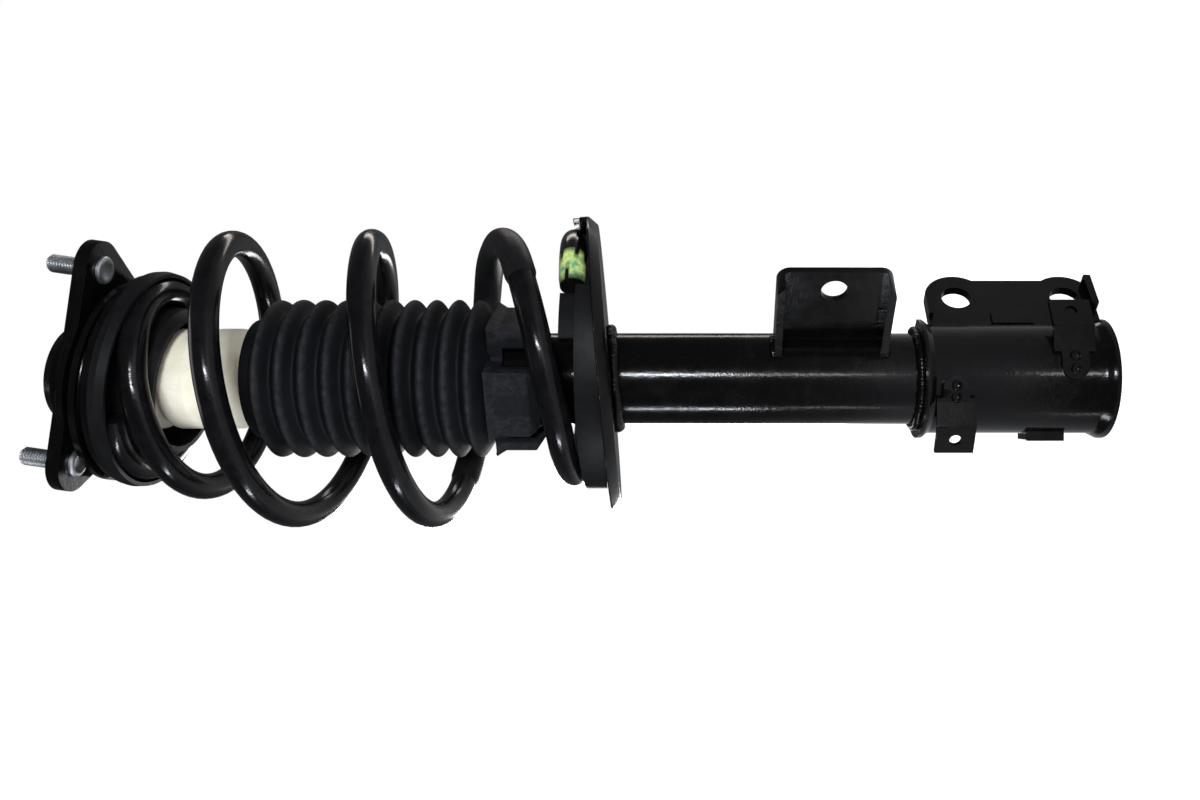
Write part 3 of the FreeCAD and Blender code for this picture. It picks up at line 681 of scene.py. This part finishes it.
def tower_stud(name, centre):
    """Pressed stud: rings of points from the middle of its head to the tip of its thread."""
    sides = 48
    shank_end, tip = PLATE_SHEET + 0.6, STUD_LENGTH
    head = [(-1.9, 0.02), (-1.9, 4.2), (-2.3, 4.7), (-2.35, 6.2), (-2.1, 6.9),
            (-1.4, STUD_HEAD_R), (-0.2, STUD_HEAD_R), (0.0, STUD_HEAD_R - 0.2),
            (0.0, STUD_KNURL_R), (PLATE_SHEET, STUD_KNURL_R), (PLATE_SHEET, STUD_R - 0.6)]
    rows = [(h, (lambda a, r=r: r)) for h, r in head]
    steps = round((tip - shank_end) / THREAD_PITCH * 10)
    for k in range(1, steps + 1):
        h = shank_end + (tip - shank_end) * k / steps
        rows.append((h, lambda a, h=h: thread_radius(a, h, shank_end, tip)))
    rows.append((tip, lambda a: 0.02))
    points, faces = [], []
    for h, radius in rows:
        for j in range(sides):
            azimuth = 360 * j / sides
            points.append(leaned(centre + polar(azimuth, radius(azimuth), FACE_Z + h)))
    for i in range(len(rows) - 1):
        faces += band(i, sides)
    return make_piece(name, points, faces, 40.0)


def tower_studs():
    for number, centre in enumerate(stud_places(), 1):
        stud = tower_stud(f"tower_stud_{number}", centre)
        finish_piece(stud, "zinc_plate", "top_mount", "tower_studs")


# ---- Weld beads ----
def circle_route(radius, z, start=0.0, sweep_angle=360.0, tilt=0.0, step=3.0):
    """Points round the tube; tilt is the rise along X."""
    count = round(abs(sweep_angle) / step)
    route = []
    for k in range(count + 1):
        p = polar(start + sweep_angle * k / count, radius, z)
        p.z += p.x * tilt
        route.append(p)
    return route


def weld_beads():
    """Beads that hold the knuckle bracket, the lower seat and the link bracket to the tube."""
    slope = math.tan(math.radians(SEAT_TILT))
    seat_route = circle_route(TUBE_R + 1.6, SEAT_Z - 2.0, tilt=slope)
    beads = [
        bead("weld_bracket_top", circle_route(TUBE_R + 1.2, 58.0, 30, 300), 2.6, seed=1.0),
        bead("weld_lower_seat", seat_route, 3.1, seed=2.0),
    ]
    for edge, z, inward in (("low", 76.5, 1), ("high", 137.5, -1)):
        route = [polar(a, TUBE_R + 0.7, z - inward * 0.3) for a in range(-108, -68, 3)]
        beads.append(bead(f"weld_link_{edge}", route, 2.0, seed=4.0 + inward))
    web_route = [Vector((9.4, -24.6, z)) for z in range(80, 135, 3)]
    beads.append(bead("weld_link_web", web_route, 2.1, seed=7.0))
    for piece in beads:
        finish_piece(piece, "black_paint", "strut_body")


# ---- Spot welds on the clip straps' feet ----
def strap_place(tangential, radial, z):
    return FRONT * radial + UP * tangential + Vector((0, 0, z))


def spot_weld(name, tangential, radial, z, size):
    """Shallow crater with a raised, uneven rim, pressed into a strap's foot."""
    centre = strap_place(tangential, radial, z)
    profile = [(0.0, -0.25), (0.45, -0.15), (0.7, 0.45), (0.85, 0.6), (1.0, 0.25), (1.12, -0.5)]
    sides = 40
    points, faces = [], []
    for share, height in profile:
        for j in range(sides):
            angle = 2 * math.pi * j / sides
            rough = 1 + 0.10 * noise.noise(Vector((math.cos(angle) * 2, math.sin(angle) * 2, z + share)))
            r = max(share, 0.02) * size * rough
            points.append(centre + UP * (r * math.cos(angle)) + Vector((0, 0, r * math.sin(angle)))
                          + FRONT * (height * rough))
    for i in range(len(profile) - 1):
        faces += [(a, d, c, b) for a, b, c, d in band(i, sides)]
    faces.append(tuple(range(sides)))
    return finish_piece(make_piece(name, points, faces, 50.0), "black_paint", "strut_body")


def spot_welds():
    seat = TUBE_R + BRACKET_SHEET + STRAP_SHEET
    for name, tangential, z in (("hose_strap", -4.2, 40.5), ("hose_strap_low", -10.4, 40.5),
                                ("wire_strap", 11.6, -23.0), ("wire_strap_low", 4.6, -23.0)):
        sink = 0.0 if abs(tangential) < 5 else 1.0
        spot_weld(f"spot_weld_{name}", tangential, seat - sink, z, SPOT_WELD_R)


# ---- Assembly of the looks ----
FRONT, UP = polar(FRONT_AZ, 1, 0), polar(LEAN_AZ, 1, 0)
for row in frame["record"]["subparts"]:
    dress(frame["nodes"][row["node"]], row["material_slot"])

spring = coil_spring()
sleeve = spring_sleeve()
boot_pieces = dust_boot()
bump_stop()
tower_studs()
weld_beads()
spot_welds()
for sheet_node, edge_radius in (("knuckle_bracket", 0.9), ("link_bracket", 1.0), ("hose_strap", 0.7),
                                ("wire_strap", 0.7), ("lower_tab", 0.6), ("mount_plate", 0.9),
                                ("lower_seat", 0.9), ("lower_pad", 0.8)):
    soften(sheet_node, edge_radius, 9 if sheet_node.endswith("strap") else 32)

for piece in (spring, sleeve):
    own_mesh(piece)
for piece in boot_pieces:
    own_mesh(piece)


# ---- Stage, light and camera ----
def floor():
    """Pale floor, bright to the camera and dimmer in what the paint mirrors."""
    mesh = bpy.data.meshes.new("floor")
    half, z = 6.0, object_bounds()[0].z - 0.0005
    corners = [(-half, -half, z), (half, -half, z), (half, half, z), (-half, half, z)]
    mesh.from_pydata(corners, [], [(0, 1, 2, 3)])
    plane = bpy.data.objects.new("floor", mesh)
    bpy.context.scene.collection.objects.link(plane)
    m = Maker("pale_floor", 0.9, Specular_IOR_Level=0.0)
    m.colour(m.ramp(m.grain(3, 2), 0.3, 0.7, (0.86, 0.86, 0.86), (0.89, 0.89, 0.89)))
    m.shader.inputs["Emission Color"].default_value = (1, 1, 1, 1)
    seen = m.node("ShaderNodeLightPath").outputs["Is Camera Ray"]
    m.link(m.between(seen, 0.10, 0.95), m.shader.inputs["Emission Strength"])
    plane.data.materials.append(m.material)
    plane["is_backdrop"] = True


def area_light(name, at, target, size, energy, colour):
    """Rectangular light facing target; size is its width and height in metres."""
    data = bpy.data.lights.new(name, "AREA")
    data.shape = "RECTANGLE"
    data.size, data.size_y = size
    data.energy = energy
    data.color = colour
    lamp = bpy.data.objects.new(name, data)
    lamp.location = at
    away = (at - target).normalized()
    across = Vector((0, 0, 1)).cross(away).normalized()
    rise = away.cross(across)
    lamp.rotation_mode = "QUATERNION"
    lamp.rotation_quaternion = Matrix((across, rise, away)).transposed().to_quaternion()
    bpy.context.scene.collection.objects.link(lamp)


def world():
    """White to the camera, dimmer as light on the object, which keeps black paint black."""
    studio_world = bpy.data.worlds.new("studio")
    bpy.context.scene.world = studio_world
    studio_world.use_nodes = True
    tree = studio_world.node_tree
    tree.nodes.clear()
    seen, lit = tree.nodes.new("ShaderNodeBackground"), tree.nodes.new("ShaderNodeBackground")
    seen.inputs["Color"].default_value = (1, 1, 1, 1)
    seen.inputs["Strength"].default_value = 1.0
    lit.inputs["Color"].default_value = (0.92, 0.96, 1.0, 1)
    lit.inputs["Strength"].default_value = 0.12
    path, mix = tree.nodes.new("ShaderNodeLightPath"), tree.nodes.new("ShaderNodeMixShader")
    tree.links.new(path.outputs["Is Camera Ray"], mix.inputs["Fac"])
    tree.links.new(lit.outputs[0], mix.inputs[1])
    tree.links.new(seen.outputs[0], mix.inputs[2])
    output = tree.nodes.new("ShaderNodeOutputWorld")
    tree.links.new(mix.outputs[0], output.inputs["Surface"])


def studio():
    """Narrow lights that leave thin streaks on the paint, and two broad ones. Places are metres from middle."""
    middle = place(0, 0, 245)
    white, bluish, warm = (1, 1, 1), (0.88, 0.93, 1.0), (1.0, 0.91, 0.85)
    front_high, front_low = FRONT + UP * 0.15, UP * -0.9
    for name, at, size, energy, colour in (
        ("key", front_high + Vector((0, 0, 0.04)), (0.045, 0.24), 11.0, bluish),
        ("key_long", front_high + Vector((0, 0, -0.30)), (0.035, 0.50), 3.4, warm),
        ("low_side", front_low + FRONT * 0.12, (0.05, 0.26), 4.2, bluish),
        ("low_long", front_low + FRONT * 0.2 + Vector((0, 0, -0.35)), (0.05, 0.35), 0.9, warm),
        ("high_side", UP * 0.8 - FRONT * 0.75, (0.14, 0.9), 2.4, warm),
        ("rear", FRONT * -1.2 - UP * 0.3, (0.2, 0.9), 6.0, white),
        ("overhead", Vector((0.1, 0.1, 1.6)), (0.9, 0.9), 6.0, white),
    ):
        area_light(name, middle + at, middle, size, energy, colour)


def camera():
    """Level with the strut's lower third, rolled so that the strut's axis lies across the frame."""
    data = bpy.data.cameras.new("camera")
    cam = bpy.data.objects.new("camera", data)
    bpy.context.scene.collection.objects.link(cam)
    data.lens = 32.85
    data.shift_x = -0.0933
    data.clip_start = 0.01
    cam.location = place(*(FRONT * CAMERA_REACH - UP * CAMERA_DROP + Vector((0, 0, CAMERA_Z))))
    cam.rotation_mode = "QUATERNION"
    right = Vector((0, 0, -1))
    cam.rotation_quaternion = Matrix((right, UP, FRONT)).transposed().to_quaternion()
    bpy.context.scene.camera = cam


floor()
world()
studio()
camera()
bpy.context.scene.view_settings.view_transform = "Standard"
